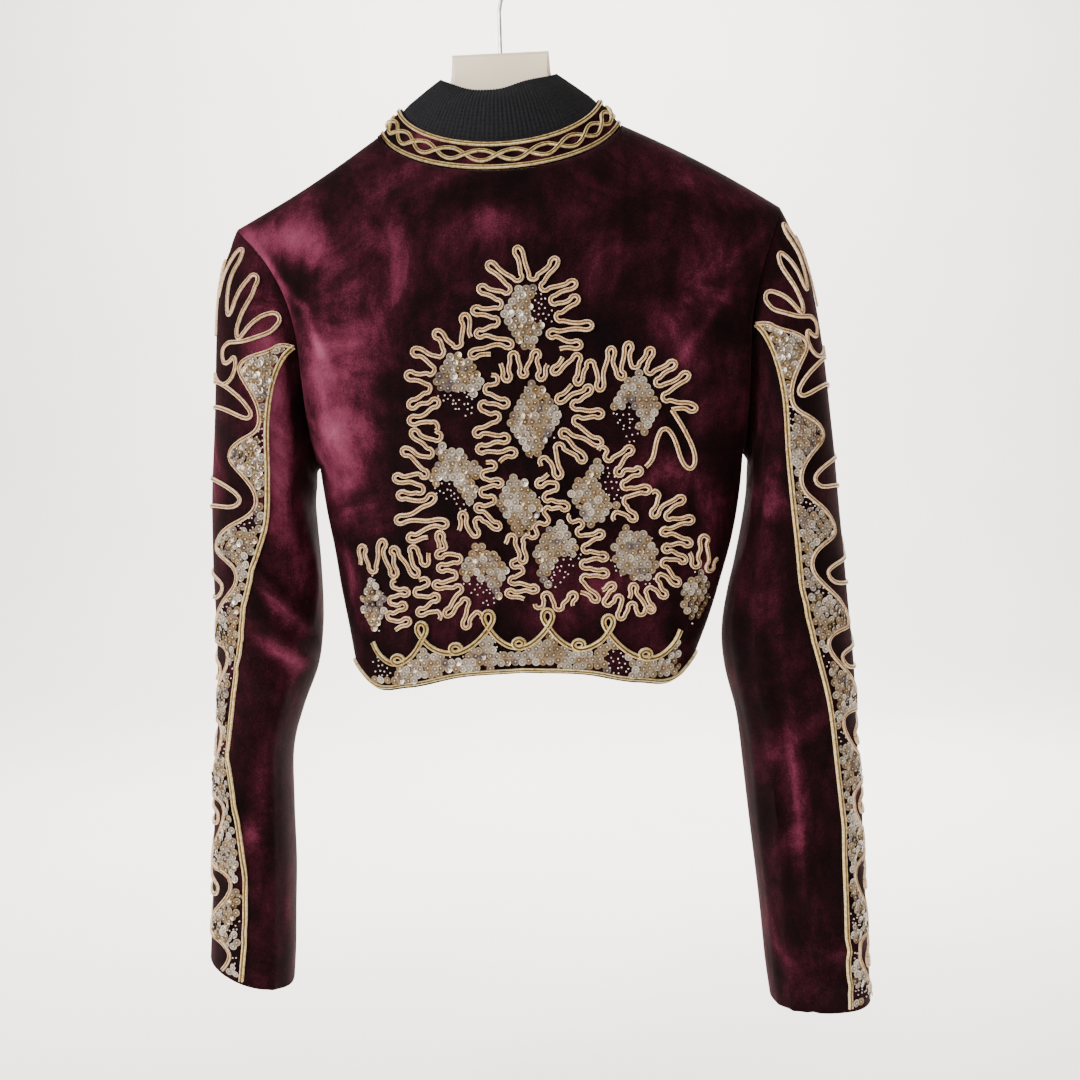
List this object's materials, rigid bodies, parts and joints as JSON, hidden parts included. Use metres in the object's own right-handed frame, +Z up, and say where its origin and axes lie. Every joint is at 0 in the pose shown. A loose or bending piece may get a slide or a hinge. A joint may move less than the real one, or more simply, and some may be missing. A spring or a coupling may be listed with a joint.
{
  "type": "embroidered velvet jacket on a flat hanger",
  "caption": "Cropped velvet jacket with long sleeves, a corded stand collar over a ribbed neck and couched cord bands, hanging on a broad flat hanger with a wire hook.",
  "frame": {"origin": "inside of the crown of the hanger's hook, where a rail bears, on the object's middle plane", "axes": "+Z up along the hanger's stem; -Y towards the jacket's back, which the picture shows; +Y towards its fronts; +X towards the wearer's right sleeve"},
  "size_m": [0.5292, 0.1555, 0.845],
  "materials": {
    "velvet": "dark wine-red cut pile with a soft sheen",
    "rib_knit": "charcoal ribbed knit, dull",
    "gold_cord": "twisted metallic yellow-gold thread cord",
    "cream_cord": "twisted pale pink-gold thread cord",
    "sequin": "clear cup sequins in silver, gold and mauve",
    "pearl": "pinkish white pearl beads",
    "board": "pale beige, matte, bare",
    "steel": "grey drawn wire"
  },
  "bodies": {
    "root": {"back_panel": "velvet", "border_cord_left_back": "gold_cord", "border_cord_left_front": "gold_cord", "border_cord_right_back": "gold_cord", "border_cord_right_front": "gold_cord", "collar_band": "velvet", "collar_cord_lower": "gold_cord", "collar_cord_upper": "gold_cord", "collar_wave_a": "gold_cord", "collar_wave_b": "gold_cord", "front_cord_left": "gold_cord", "front_cord_right": "gold_cord", "front_left": "velvet", "front_right": "velvet", "hanger_board": "board", "hanger_hook": "steel", "hem_cord_back": "gold_cord", "hem_cord_front_left": "gold_cord", "hem_cord_front_right": "gold_cord", "neck_rib": "rib_knit", "scallop_cord_back": "gold_cord", "scallop_cord_front_left": "gold_cord", "scallop_cord_front_right": "gold_cord", "sleeve_outer_left": "velvet", "sleeve_outer_right": "velvet", "sleeve_under_left": "velvet", "sleeve_under_right": "velvet", "wave_cord_left_back": "cream_cord", "wave_cord_left_front": "cream_cord", "wave_cord_right_back": "cream_cord", "wave_cord_right_front": "cream_cord"}
  },
  "joints": []
}
